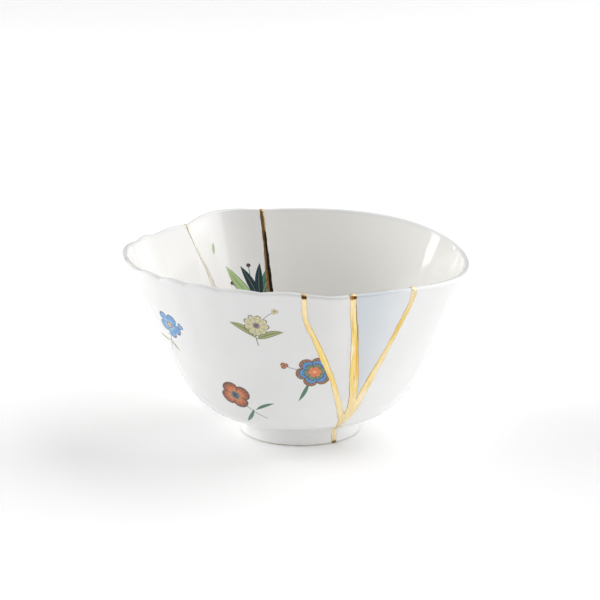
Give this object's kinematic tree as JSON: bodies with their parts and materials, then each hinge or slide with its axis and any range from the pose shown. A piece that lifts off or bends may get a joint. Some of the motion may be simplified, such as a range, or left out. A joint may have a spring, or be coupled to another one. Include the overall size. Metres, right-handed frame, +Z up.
{
  "type": "kintsugi bowl",
  "caption": "Round porcelain bowl on a foot ring, with a scalloped uneven rim, broken into shards and rejoined with gold seams.",
  "frame": {"origin": "centre of the bounding box, on the plane that the foot ring stands on", "axes": "+Z up out of the bowl's mouth; +X to the right in the front view, along the bowl's widest extent; the repaired front faces -Y"},
  "size_m": [0.187, 0.1826, 0.1028],
  "materials": {
    "white_glaze": "gloss white glaze with small printed motifs",
    "blue_white_glaze": "gloss bluish white glaze",
    "gold": "satin gold over lacquer"
  },
  "bodies": {
    "root": {"shard_left": "white_glaze", "shard_back_left": "white_glaze", "shard_right": "white_glaze", "wedge_front_left": "white_glaze", "wedge_front_right": "blue_white_glaze", "gold_seams": "gold"}
  },
  "joints": []
}
